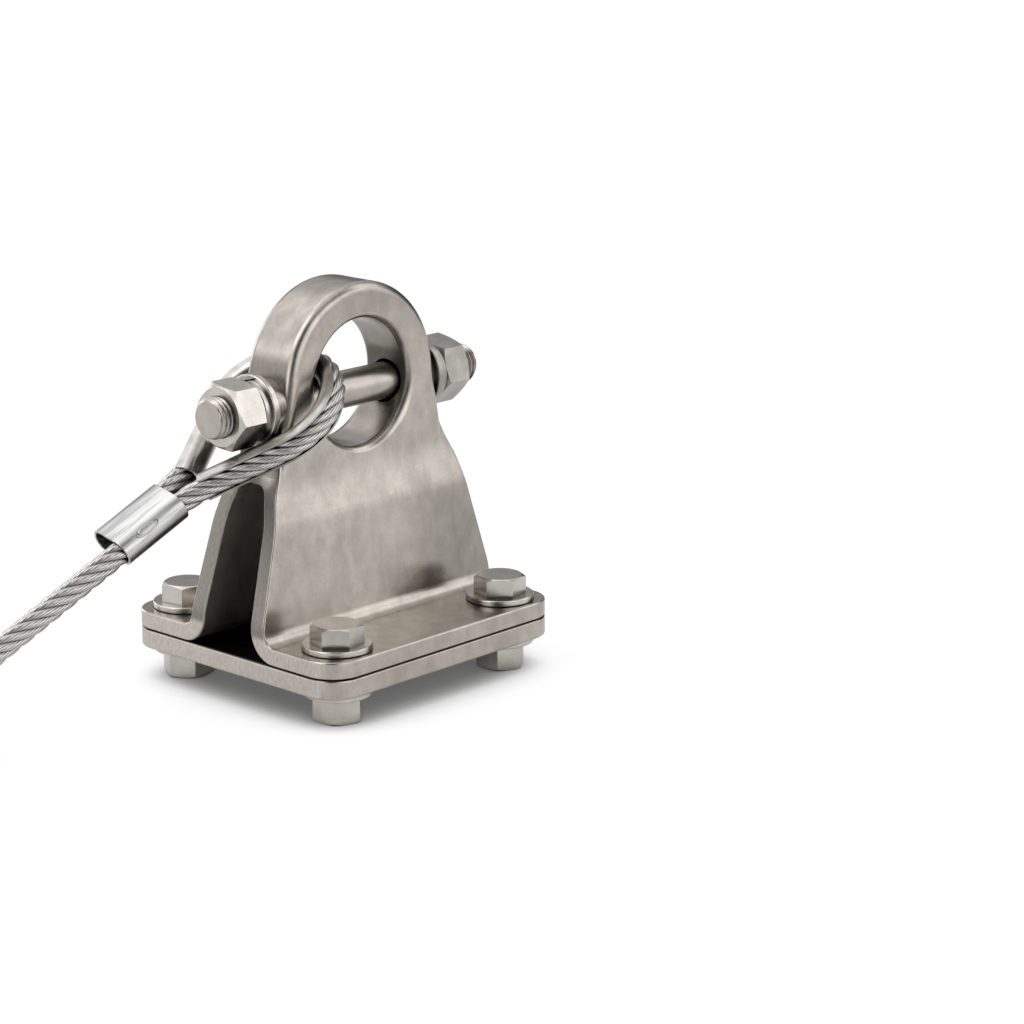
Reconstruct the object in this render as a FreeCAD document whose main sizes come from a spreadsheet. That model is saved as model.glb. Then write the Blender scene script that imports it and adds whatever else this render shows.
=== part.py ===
import FreeCAD, Part
import math
import os
import re
import Sketcher

# Lifeline anchor: a forged eye bracket clamped to a base plate, a cross stud through
# the eye, and a wire rope held round one side of the eye by a thimble and a ferrule.
# Millimetres. X runs along the stud, Y along the axis of the eye hole, Z up.
# The origin is in the middle of the base plate, level with the undersides of the nuts.

# Driving dimensions
size = {
    # base plate and the flanges that lie on it
    "plate_length": 125.6,
    "plate_width": 116.2,
    "plate_thick": 8,
    "plate_corner": 13,
    "plate_edge": 1,
    # bracket of one thickness, bent out into two flanges; its legs run out past the faces of
    # the head, and their bends are placed from the crown of the tunnel
    "bracket_thick": 7,
    "bracket_edge": 0.8,
    "foot_bend": 5,
    "foot_out": 3.3,
    "break_out": 4.6,
    "break_drop": 14.5,
    "break_bend": 30,
    "slope_in": 4,
    "slope_lift": 19,
    "tunnel_rise": 57.1,
    "tunnel_in": 6.1,
    "tunnel_bend": 6,
    # outline of the bracket seen from the front: the neck stands out past the eye and above
    # the tunnel, the shoulder lies below it, a share of the way out to the plate's end
    "taper_rise": 6.4,
    "taper_bend": 20,
    "shoulder_share": 0.275,
    "shoulder_drop": 10.6,
    "shoulder_bend": 40,
    "neck_out": 5.1,
    "neck_lift": 7.1,
    "neck_bend": 28,
    # eye at the top
    "eye_lift": 33.84,
    "eye_hole": 50,
    "eye_width": 79,
    "head_thick": 26,
    "head_edge": 4,
    "head_overlap": 0.5,
    # cross stud with its nuts and washers
    "stud_drop": 4.7,
    "stud_show_left": 5.4,
    "stud_show_right": 9.4,
    "stud_thread": 16,
    "stud_shank": 14.7,
    "shank_length": 60,
    "stud_chamfer": 1.3,
    "stud_clearance": 0.5,
    "boss_width": 23,
    "seat_out_left": 5.7,
    "seat_out_right": 1.7,
    "seat_margin": 1,
    "seat_skim": 0.5,
    "stud_nut_flats": 24,
    "stud_nut_height": 13.2,
    "stud_turn_left": 8,
    "stud_turn_right": 14,
    "stud_washer_width": 27.7,
    "stud_washer_thick": 3,
    "lock_washer_width": 24.4,
    "lock_washer_thick": 2.8,
    "lock_split": 2,
    "lock_lean": 20,
    # clamp bolts, nuts and washers at the four corners
    "bolt_inset_x": 17.5,
    "bolt_inset_y": 15.7,
    "bolt_thread": 12,
    "bolt_clearance": 0.5,
    "bolt_flats": 18,
    "bolt_head": 7.5,
    "bolt_end": 1,
    "bolt_chamfer": 1,
    "nut_height": 10.4,
    "washer_width": 27,
    "washer_thick": 2.5,
    "washer_edge": 0.5,
    "thread_gap": 0.15,
    "hex_chamfer": 30,
    "hex_face": 0.95,
    "turn_front_left": 42.5,
    "turn_front_right": 42.5,
    "turn_back_left": 7,
    "turn_back_right": 42.5,
    "nut_turn": 25,
    # rope and thimble, the loop's directions in degrees
    "rope_thick": 9,
    "rope_gap": 0.35,
    "rope_spacing": 0.2,
    "rope_tail": 28,
    "rope_line": 130,
    "line_azimuth": -8,
    "line_slope": 27.6,
    "loop_azimuth": -14.5,
    "loop_slope": 35.5,
    "loop_roll": 14,
    "leg_bow": 0.4,
    "thimble_wall": 0.9,
    "thimble_lip": 2,
    "thimble_crown": 24.7,
    "thimble_angle": 27.5,
    "thimble_cut": 12,
    "crown_gap": 4.15,
    "crown_side": 3.6,
    # ferrule and end terminal
    "far_lead": 0.1,
    "ferrule_length": 30,
    "ferrule_wall": 1,
    "ferrule_edge": 0.6,
    "ferrule_setback": 9,
    "bore_gap": 0.2,
    "terminal_length": 32,
    "terminal_width": 16,
    "terminal_depth": 24.5,
    "terminal_edge": 1,
    "terminal_eye": 26,
    "terminal_hole": 13,
    "terminal_thick": 10,
    "terminal_reach": 13,
}

doc = FreeCAD.newDocument("LifelineAnchor")
sheet = doc.addObject("Spreadsheet::Sheet", "Sizes")
for row, (name, value) in enumerate(size.items(), start=1):
    sheet.set("A%d" % row, name)
    sheet.set("B%d" % row, str(value))
    sheet.setAlias("B%d" % row, name)
doc.recompute()

# Levels and places that several pieces share, in terms of the driving dimensions
plate_bottom = "(nut_height + washer_thick)"
flange_bottom = "(%s + plate_thick)" % plate_bottom
flange_top = "(%s + bracket_thick)" % flange_bottom
head_seat = "(%s + washer_thick)" % flange_top
leg_break = "(head_thick / 2 + break_out)"
leg_foot = "(%s + foot_out)" % leg_break
tunnel_half = "(head_thick / 2 - tunnel_in)"
break_level = "(%s + tunnel_rise - break_drop)" % flange_top
slope_level = "(%s + tunnel_rise + slope_lift)" % flange_top
tunnel_level = "(%s + tunnel_rise)" % flange_top
eye_height = "(%s + tunnel_rise + eye_lift)" % flange_top
stud_height = "(%s - stud_drop)" % eye_height
neck_half = "(eye_width / 2 + neck_out)"
neck_rise = "(tunnel_rise + neck_lift)"
shoulder_half = "(%s + (plate_length / 2 - %s) * shoulder_share)" % (neck_half, neck_half)
shoulder_rise = "(%s - shoulder_drop)" % neck_rise
seats = {side: "(eye_width / 2 + seat_out_%s)" % side for side in ("left", "right")}
stud_stack = "(stud_washer_thick + lock_washer_thick + stud_nut_height)"
bolt_x = "(plate_length / 2 - bolt_inset_x)"
bolt_y = "(plate_width / 2 - bolt_inset_y)"
bolt_hole = "(bolt_thread + 2 * bolt_clearance)"
rope_bore = "(rope_thick + 2 * bore_gap)"
groove = "(rope_thick / 2 + rope_gap)"
channel = "(%s + thimble_wall)" % groove
crown_x = "(crown_gap + %s - eye_hole / 2)" % channel
crown_height = "(%s + stud_shank / 2 + %s)" % (stud_height, channel)


def bound(text):
    # the same formula, pointing at the cells of the sheet
    return re.sub(r"[a-z_]+", lambda word: ("Sizes." if word.group() in size else "") + word.group(), text)


def number(text):
    return float(sheet.evalExpression(bound(text)))


def tie(target, name, text):
    target.setExpression(name, bound(text))


def new_body(label):
    body = doc.addObject("PartDesign::Body", "Body_" + label)
    body.Label = label
    return body


def origin_plane(body, role):
    return [feature for feature in body.Origin.OriginFeatures if feature.Role == role][0]


def new_sketch(body, role, offset=None):
    sketch = body.newObject("Sketcher::SketchObject", body.Name + "_Sketch")
    sketch.AttachmentSupport = [(origin_plane(body, role), "")]
    sketch.MapMode = "FlatFace"
    if offset:
        tie(sketch, "AttachmentOffset.Base.z", offset)
    return sketch


def place_point(sketch, geometry, end, x, y):
    # dimensions a point of the sketch from its origin
    for kind, text in (("DistanceX", x), ("DistanceY", y)):
        index = sketch.addConstraint(Sketcher.Constraint(kind, -1, 1, geometry, end, number(text)))
        sketch.setExpression("Constraints[%d]" % index, bound(text))


def draw_polygon(sketch, corners):
    points = [FreeCAD.Vector(number(x), number(y), 0) for x, y in corners]
    first = sketch.GeometryCount
    count = len(points)
    for step in range(count):
        sketch.addGeometry(Part.LineSegment(points[step], points[(step + 1) % count]))
    for step in range(count):
        following = first + (step + 1) % count
        sketch.addConstraint(Sketcher.Constraint("Coincident", first + step, 2, following, 1))
    for step, (x, y) in enumerate(corners):
        place_point(sketch, first + step, 1, x, y)


def draw_circle(sketch, diameter, x="0", y="0"):
    centre = FreeCAD.Vector(number(x), number(y), 0)
    circle = sketch.addGeometry(Part.Circle(centre, FreeCAD.Vector(0, 0, 1), number(diameter) / 2))
    place_point(sketch, circle, 3, x, y)
    index = sketch.addConstraint(Sketcher.Constraint("Diameter", circle, number(diameter)))
    sketch.setExpression("Constraints[%d]" % index, bound(diameter))


def draw_hexagon(sketch, flats):
    # the flats' normals lie on the sketch's X axis and every 60 degrees
    half = "%s / 2" % flats
    edge = "%s / 2 / cos(30 deg)" % flats
    corners = [
        (half, "-%s / 2" % edge),
        (half, "%s / 2" % edge),
        ("0", edge),
        ("-%s" % half, "%s / 2" % edge),
        ("-%s" % half, "-%s / 2" % edge),
        ("0", "-%s" % edge),
    ]
    draw_polygon(sketch, corners)


def draw_slot(sketch, width, height):
    # two half circles joined by two flats, the long way across on the sketch's X axis
    radius = number(height) / 2
    reach = (number(width) - number(height)) / 2
    right = Part.ArcOfCircle(Part.Circle(FreeCAD.Vector(reach, 0, 0), FreeCAD.Vector(0, 0, 1), radius),
                             -math.pi / 2, math.pi / 2)
    left = Part.ArcOfCircle(Part.Circle(FreeCAD.Vector(-reach, 0, 0), FreeCAD.Vector(0, 0, 1), radius),
                            math.pi / 2, 3 * math.pi / 2)
    top = Part.LineSegment(FreeCAD.Vector(reach, radius, 0), FreeCAD.Vector(-reach, radius, 0))
    bottom = Part.LineSegment(FreeCAD.Vector(-reach, -radius, 0), FreeCAD.Vector(reach, -radius, 0))
    arc_right = sketch.addGeometry(right)
    flat_top = sketch.addGeometry(top)
    arc_left = sketch.addGeometry(left)
    flat_bottom = sketch.addGeometry(bottom)
    joins = (arc_right, 2, flat_top, 1), (flat_top, 2, arc_left, 1), (arc_left, 2, flat_bottom, 1)
    for join in joins + ((flat_bottom, 2, arc_right, 1),):
        sketch.addConstraint(Sketcher.Constraint("Tangent", *join))
    place_point(sketch, arc_right, 3, "(%s - %s) / 2" % (width, height), "0")
    place_point(sketch, arc_left, 3, "-(%s - %s) / 2" % (width, height), "0")
    index = sketch.addConstraint(Sketcher.Constraint("Radius", arc_right, radius))
    sketch.setExpression("Constraints[%d]" % index, bound("(%s) / 2" % height))


def pad(body, sketch, length, side="One side", flipped=False):
    feature = body.newObject("PartDesign::Pad", body.Name + "_Pad")
    feature.Profile = sketch
    feature.SideType = side
    feature.Reversed = flipped
    tie(feature, "Length", length)
    doc.recompute()
    return feature


def cut(body, sketch, length=None, side="One side", flipped=False):
    # a pocket of the given length, or right through when none is given
    before = body.Shape.Volume
    feature = body.newObject("PartDesign::Pocket", body.Name + "_Pocket")
    feature.Profile = sketch
    feature.SideType = side
    feature.Reversed = flipped
    if length:
        tie(feature, "Length", length)
    else:
        feature.Type = "ThroughAll"
    doc.recompute()
    if not feature.Shape.Volume < before:
        raise RuntimeError(feature.Label + " cuts nothing")
    return feature


def turn(body, sketch, axis, kind="PartDesign::Revolution"):
    before = body.Shape.Volume if kind == "PartDesign::Groove" else None
    feature = body.newObject(kind, body.Name + "_Turn")
    feature.Profile = sketch
    feature.ReferenceAxis = (sketch, [axis])
    feature.Angle = 360
    doc.recompute()
    if before is not None and not feature.Shape.Volume < before:
        raise RuntimeError(feature.Label + " cuts nothing")
    return feature


def dress(body, kind, edges, amount):
    # rounds or chamfers the edges of the body's last feature that pass the test
    base = body.Tip
    names = ["Edge%d" % (index + 1) for index, edge in enumerate(base.Shape.Edges) if edges(edge)]
    if not names:
        raise RuntimeError("no edge to dress on " + body.Label)
    feature = body.newObject("PartDesign::" + kind, body.Name + "_" + kind)
    feature.Base = (base, names)
    tie(feature, "Radius" if kind == "Fillet" else "Size", amount)
    doc.recompute()
    return feature


def along(edge, axis):
    # True for a straight edge that runs along the given axis
    if not isinstance(edge.Curve, Part.Line):
        return False
    return abs(edge.Curve.Direction.dot(axis)) > 0.9999


def near_to(one, other, slack=0.01):
    return abs(one - other) < slack


X_AXIS = FreeCAD.Vector(1, 0, 0)
Y_AXIS = FreeCAD.Vector(0, 1, 0)
Z_AXIS = FreeCAD.Vector(0, 0, 1)
CORNERS = [("front_left", -1, -1), ("front_right", 1, -1), ("back_left", -1, 1), ("back_right", 1, 1)]


def draw_bolt_holes(sketch):
    for _, x, y in CORNERS:
        draw_circle(sketch, bolt_hole, "%d * %s" % (x, bolt_x), "%d * %s" % (y, bolt_y))


def corner_edge(edge):
    # an upright edge at one of the four corners of the plate's rectangle
    middle = edge.CenterOfMass
    at_end = near_to(abs(middle.x), number("plate_length / 2"))
    return at_end and near_to(abs(middle.y), number("plate_width / 2")) and along(edge, Z_AXIS)


# Base plate
def make_base_plate():
    body = new_body("base_plate")
    sketch = new_sketch(body, "XY_Plane", plate_bottom)
    draw_polygon(sketch, [("%d * plate_length / 2" % x, "%d * plate_width / 2" % y)
                          for x, y in ((-1, -1), (1, -1), (1, 1), (-1, 1))])
    pad(body, sketch, "plate_thick")
    dress(body, "Fillet", corner_edge, "plate_corner")
    dress(body, "Fillet", lambda edge: not along(edge, Z_AXIS), "plate_edge")
    sketch = new_sketch(body, "XY_Plane", plate_bottom)
    draw_bolt_holes(sketch)
    cut(body, sketch, flipped=True)
    return body


# Eye bracket: the bent section, cut to the front outline, with the thick eye on top
def draw_section(sketch):
    side = [
        ("head_thick / 2 - slope_in", slope_level),
        (leg_break, break_level),
        (leg_foot, flange_top),
        ("plate_width / 2", flange_top),
        ("plate_width / 2", flange_bottom),
        ("%s - bracket_thick" % leg_foot, flange_bottom),
        ("%s - bracket_thick" % leg_break, break_level),
        (tunnel_half, tunnel_level),
    ]
    draw_polygon(sketch, side + [("-(%s)" % y, z) for y, z in reversed(side)])


def draw_outline(sketch, lower):
    # the ring's arc, tangent to straight flanks, then the corners down to the lower edge
    radius = number("eye_width / 2")
    top = number(eye_height)
    neck = FreeCAD.Vector(number(neck_half), number("%s + %s" % (flange_top, neck_rise)), 0)
    centre = FreeCAD.Vector(0, top, 0)
    reach = centre - neck
    lean = math.atan2(reach.y, reach.x) - math.asin(radius / reach.Length)
    length = math.sqrt(reach.Length ** 2 - radius ** 2)
    touch = neck + FreeCAD.Vector(math.cos(lean), math.sin(lean), 0) * length
    start = math.atan2(touch.y - top, touch.x)
    ring = sketch.addGeometry(Part.ArcOfCircle(Part.Circle(centre, FreeCAD.Vector(0, 0, 1), radius),
                                               start, math.pi - start))
    place_point(sketch, ring, 3, "0", eye_height)
    index = sketch.addConstraint(Sketcher.Constraint("Radius", ring, radius))
    sketch.setExpression("Constraints[%d]" % index, bound("eye_width / 2"))
    corners = [(neck_half, "%s + %s" % (flange_top, neck_rise))] + lower
    corners = corners + [("-(%s)" % x, z) for x, z in reversed(corners)]
    points = [FreeCAD.Vector(number(x), number(z), 0) for x, z in corners]
    chain = [touch] + points + [FreeCAD.Vector(-touch.x, touch.y, 0)]
    lines = [sketch.addGeometry(Part.LineSegment(one, other)) for one, other in zip(chain, chain[1:])]
    for one, other in zip(lines, lines[1:]):
        sketch.addConstraint(Sketcher.Constraint("Coincident", one, 2, other, 1))
    for line, (x, z) in zip(lines[1:], corners):
        place_point(sketch, line, 1, x, z)
    sketch.addConstraint(Sketcher.Constraint("Tangent", ring, 1, lines[0], 1))
    sketch.addConstraint(Sketcher.Constraint("Tangent", ring, 2, lines[-1], 2))


def make_eye_bracket():
    # outline seen from the front, a block as deep as the flanges, clear of the eye's rounded rim
    outline = new_body("bracket_outline")
    sketch = new_sketch(outline, "XZ_Plane")
    shoulder = (shoulder_half, "%s + %s" % (flange_top, shoulder_rise))
    foot = [("plate_length / 2", "%s + taper_rise" % flange_top), ("plate_length / 2", flange_bottom)]
    draw_outline(sketch, [shoulder] + foot)
    draw_circle(sketch, "eye_hole + 2 * head_edge", "0", eye_height)
    pad(outline, sketch, "plate_width", "Symmetric")

    def flank_corner(half, rise):
        def test(edge):
            middle = edge.CenterOfMass
            level = number("%s + %s" % (flange_top, rise))
            return along(edge, Y_AXIS) and near_to(abs(middle.x), number(half)) and near_to(middle.z, level)
        return test
    dress(outline, "Fillet", flank_corner(neck_half, neck_rise), "neck_bend")
    dress(outline, "Fillet", flank_corner(shoulder_half, shoulder_rise), "shoulder_bend")
    dress(outline, "Fillet", flank_corner("plate_length / 2", "taper_rise"), "taper_bend")

    # bent section with its two flanges and the tunnel between the legs
    body = new_body("eye_bracket")
    sketch = new_sketch(body, "YZ_Plane")
    draw_section(sketch)
    pad(body, sketch, "plate_length", "Symmetric")

    def bend(half, level):
        def test(edge):
            middle = edge.CenterOfMass
            at_bend = near_to(abs(middle.y), number(half)) and near_to(middle.z, number(level))
            return at_bend and along(edge, X_AXIS)
        return test
    dress(body, "Fillet", bend(leg_foot, flange_top), "foot_bend")
    dress(body, "Fillet", bend("%s - bracket_thick" % leg_foot, flange_bottom), "foot_bend + bracket_thick")
    dress(body, "Fillet", bend(leg_break, break_level), "break_bend")
    dress(body, "Fillet", bend("%s - bracket_thick" % leg_break, break_level), "break_bend")
    dress(body, "Fillet", bend(tunnel_half, tunnel_level), "tunnel_bend")
    common = body.newObject("PartDesign::Boolean", "BracketCommon")
    common.Type = "Common"
    common.setObjects([outline])
    doc.recompute()
    dress(body, "Fillet", corner_edge, "plate_corner")

    def flange_side(edge):
        # the rounding runs on from these edges, up both legs and along the flanges
        middle = edge.CenterOfMass
        level = near_to(middle.z, number(flange_top)) or near_to(middle.z, number(flange_bottom))
        return level and along(edge, Y_AXIS) and near_to(abs(middle.x), number("plate_length / 2"))
    dress(body, "Fillet", flange_side, "bracket_edge")

    # thick head with the eye hole, its edges well rounded
    head = new_body("bracket_head")
    sketch = new_sketch(head, "XZ_Plane")
    base = "tunnel_rise + head_overlap"
    drop = "(neck_lift - head_overlap) / shoulder_drop"
    flank_half = "%s + (%s - %s) * %s" % (neck_half, shoulder_half, neck_half, drop)
    flank = (flank_half, "%s + %s" % (flange_top, base))
    draw_outline(sketch, [flank])
    draw_circle(sketch, "eye_hole", "0", eye_height)
    pad(head, sketch, "head_thick", "Symmetric")
    dress(head, "Fillet", flank_corner(neck_half, neck_rise), "neck_bend")

    def rim(edge):
        middle = edge.CenterOfMass
        at_base = near_to(middle.z, number(flank[1]))
        return near_to(abs(middle.y), number("head_thick / 2")) and not at_base
    dress(head, "Fillet", rim, "head_edge")
    joined = body.newObject("PartDesign::Boolean", "BracketFuse")
    joined.Type = "Fuse"
    joined.setObjects([head])
    doc.recompute()

    # holes for the clamp bolts, and a boss at each side of the eye for the stud's washers
    sketch = new_sketch(body, "XY_Plane", flange_bottom)
    draw_bolt_holes(sketch)
    cut(body, sketch, flipped=True)
    wall = "(eye_hole + eye_width) / 4"
    for side, sign in (("left", -1), ("right", 1)):
        sketch = new_sketch(body, "YZ_Plane", "%d * %s" % (sign, wall))
        draw_circle(sketch, "boss_width", "0", stud_height)
        pad(body, sketch, "%s + seat_skim - %s" % (seats[side], wall), flipped=side == "left")

    # bore for the stud, and the flat seat at each end of it
    sketch = new_sketch(body, "YZ_Plane")
    draw_circle(sketch, "stud_thread + 2 * stud_clearance", "0", stud_height)
    cut(body, sketch, side="Symmetric")
    for side, sign in (("left", -1), ("right", 1)):
        sketch = new_sketch(body, "YZ_Plane", "%d * %s" % (sign, seats[side]))
        draw_circle(sketch, "stud_washer_width + 2 * seat_margin", "0", stud_height)
        cut(body, sketch, flipped=side == "right")
    return body


# Cross stud: threaded ends larger than the plain shank between them
def make_cross_stud():
    body = new_body("cross_stud")
    sketch = new_sketch(body, "XZ_Plane")
    thread = "stud_thread / 2"
    halves = {}
    for side, sign in (("left", -1), ("right", 1)):
        end = "%s + %s + stud_show_%s" % (seats[side], stud_stack, side)
        halves[side] = [
            ("%d * shank_length / 2" % sign, "stud_shank / 2"),
            ("%d * shank_length / 2" % sign, thread),
            ("%d * (%s - stud_chamfer)" % (sign, end), thread),
            ("%d * (%s)" % (sign, end), "%s - stud_chamfer" % thread),
            ("%d * (%s)" % (sign, end), "0"),
        ]
    draw_polygon(sketch, halves["right"] + halves["left"][::-1])
    turn(body, sketch, "H_Axis")
    tie(body, "Placement.Base.z", stud_height)
    return body


def chamfer_hexagon(body, flats, level, outward):
    # turns the corners off one end of a hexagonal prism
    lean = "tan(hex_chamfer * 1 deg)"
    inner = "%s * hex_face / 2" % flats
    depth = "%d * (%s - %s) * %s" % (outward, flats, inner, lean)
    sketch = new_sketch(body, "XZ_Plane")
    draw_polygon(sketch, [(inner, level), (flats, level), (flats, "%s - %s" % (level, depth))])
    turn(body, sketch, "V_Axis", "PartDesign::Groove")


def make_nut(label, flats, height, thread):
    body = new_body(label)
    sketch = new_sketch(body, "XY_Plane")
    draw_hexagon(sketch, flats)
    draw_circle(sketch, "%s + 2 * thread_gap" % thread)
    pad(body, sketch, height)
    chamfer_hexagon(body, flats, height, 1)
    chamfer_hexagon(body, flats, "0", -1)
    return body


def make_washer(label, width, hole, thick, edge=None):
    body = new_body(label)
    sketch = new_sketch(body, "XY_Plane")
    draw_circle(sketch, width)
    draw_circle(sketch, hole)
    pad(body, sketch, thick)
    if edge:
        dress(body, "Fillet", lambda line: near_to(line.BoundBox.XLength, number(width)), edge)
    return body


def make_lock_washer(label):
    body = make_washer(label, "lock_washer_width", "stud_thread + 2 * stud_clearance", "lock_washer_thick")
    sketch = new_sketch(body, "YZ_Plane")
    lean = "lock_washer_thick * tan(lock_lean * 1 deg)"
    corners = [
        ("-lock_split / 2", "0"),
        ("lock_split / 2", "0"),
        ("lock_split / 2 + %s" % lean, "lock_washer_thick"),
        ("-lock_split / 2 + %s" % lean, "lock_washer_thick"),
    ]
    draw_polygon(sketch, corners)
    cut(body, sketch, flipped=True)
    return body


# Pieces threaded on the stud at each side of the eye, seat outwards
def make_stud_fasteners():
    bodies = []
    for side, sign in (("left", -1), ("right", 1)):
        place = seats[side]
        for kind in ("flat_washer", "lock_washer", "nut"):
            label = "stud_%s_%s" % (kind, side)
            if kind == "flat_washer":
                body = make_washer(label, "stud_washer_width", "stud_thread + 2 * stud_clearance",
                                   "stud_washer_thick", "washer_edge")
                thick = "stud_washer_thick"
            elif kind == "lock_washer":
                body = make_lock_washer(label)
                thick = "lock_washer_thick"
            else:
                body = make_nut(label, "stud_nut_flats", "stud_nut_height", "stud_thread")
                thick = "stud_nut_height"
            outward = FreeCAD.Rotation(Y_AXIS, 90 * sign)
            body.Placement.Rotation = FreeCAD.Rotation(X_AXIS, number("stud_turn_" + side)).multiply(outward)
            tie(body, "Placement.Base.x", "%d * (%s)" % (sign, place))
            tie(body, "Placement.Base.z", stud_height)
            place = "%s + %s" % (place, thick)
            bodies.append(body)
    return bodies


def make_clamp_bolt(label):
    # modelled with the underside of its head at zero
    body = new_body(label)
    sketch = new_sketch(body, "XY_Plane")
    draw_hexagon(sketch, "bolt_flats")
    pad(body, sketch, "bolt_head")
    chamfer_hexagon(body, "bolt_flats", "bolt_head", 1)
    sketch = new_sketch(body, "XY_Plane")
    draw_circle(sketch, "bolt_thread")
    pad(body, sketch, "%s - bolt_end" % head_seat, flipped=True)
    low = -number("%s - bolt_end" % head_seat)
    dress(body, "Chamfer", lambda edge: near_to(edge.CenterOfMass.z, low), "bolt_chamfer")
    return body


# Bolt, nut and two washers at each corner, each turned as it was tightened
def make_clamp_fasteners():
    bodies = []
    for where, x, y in CORNERS:
        washers = [make_washer(kind + where, "washer_width", bolt_hole, "washer_thick", "washer_edge")
                   for kind in ("bolt_washer_", "nut_washer_")]
        turned = "turn_" + where
        stack = [
            (make_clamp_bolt("clamp_bolt_" + where), head_seat, turned),
            (washers[0], flange_top, turned),
            (washers[1], "nut_height", turned),
            (make_nut("clamp_nut_" + where, "bolt_flats", "nut_height", "bolt_thread"), "0",
             turned + " + nut_turn"),
        ]
        for body, level, angle in stack:
            body.Placement.Rotation = FreeCAD.Rotation(Z_AXIS, number(angle))
            tie(body, "Placement.Base.x", "%d * %s" % (x, bolt_x))
            tie(body, "Placement.Base.y", "%d * %s" % (y, bolt_y))
            tie(body, "Placement.Base.z", level)
            bodies.append(body)
    return bodies


# The rope's loop lies in a plane of its own. Its crown is a circle through a point above the
# stud, and its two legs run straight to the apex, where the ferrule holds them together.
def turned_frame(azimuth, slope, roll):
    # X points up the loop towards the anchor, Y to its far side
    turned = FreeCAD.Rotation(Z_AXIS, number(azimuth))
    turned = turned.multiply(FreeCAD.Rotation(Y_AXIS, -number(slope)))
    return turned.multiply(FreeCAD.Rotation(X_AXIS, number(roll)))


def across_line(vector, line):
    # the part of a vector that is square to a line
    return vector - line * vector.dot(line)


loop_turn = turned_frame("loop_azimuth", "loop_slope", "loop_roll")
crown_tip = FreeCAD.Vector(number(crown_x), -number("crown_side"), number(crown_height))
CROWN_CORNERS = 5
ROUNDING = 0.45


def loop_point(x, y):
    # a point of the loop's plane, from the tip of the crown
    return crown_tip + loop_turn.multVec(FreeCAD.Vector(x, y, 0))


def crown_points():
    # corners round the crown, from the far leg to the near leg, tangent to both legs
    radius = number("thimble_crown")
    step = (180 + 2 * number("thimble_angle")) / CROWN_CORNERS
    reach = radius / math.cos(math.radians(step / 2))
    points = []
    for corner in range(CROWN_CORNERS):
        angle = math.radians(step * ((CROWN_CORNERS - 1) / 2 - corner))
        points.append(loop_point(reach * math.cos(angle) - radius, reach * math.sin(angle)))
    return points


def leg_middle(corner, crown, side):
    # halfway along a leg, a little outside the straight line between its ends
    outward = across_line(loop_turn.multVec(Y_AXIS) * side, (crown - corner).normalize()).normalize()
    return (corner + crown) * 0.5 + outward * number("leg_bow")


# The route: the cut end inside the ferrule, up the far leg, round the crown over the stud, down
# the near leg, back through the ferrule and straight out to the end terminal.
half_angle = math.radians(number("thimble_angle"))
apex = loop_point(-number("thimble_crown") * (1 + 1 / math.sin(half_angle)), 0)
far_leg = loop_turn.multVec(FreeCAD.Vector(math.cos(half_angle), math.sin(half_angle), 0))
near_leg = loop_turn.multVec(FreeCAD.Vector(math.cos(half_angle), -math.sin(half_angle), 0))
line_out = turned_frame("line_azimuth", "line_slope", "0").multVec(-X_AXIS)
far_share = 1 + number("far_lead")
near_share = 1 - number("far_lead")
spread = across_line(far_leg * far_share - near_leg * near_share, line_out)
corner_reach = (number("rope_thick") + number("rope_spacing")) / spread.Length
far_corner = apex + far_leg * (corner_reach * far_share)
near_corner = apex + near_leg * (corner_reach * near_share)
crown = crown_points()
route = [far_corner + line_out * number("rope_tail"), far_corner, leg_middle(far_corner, crown[0], 1)]
route += crown
route += [leg_middle(near_corner, crown[-1], -1), near_corner, near_corner + line_out * number("rope_line")]


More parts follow.
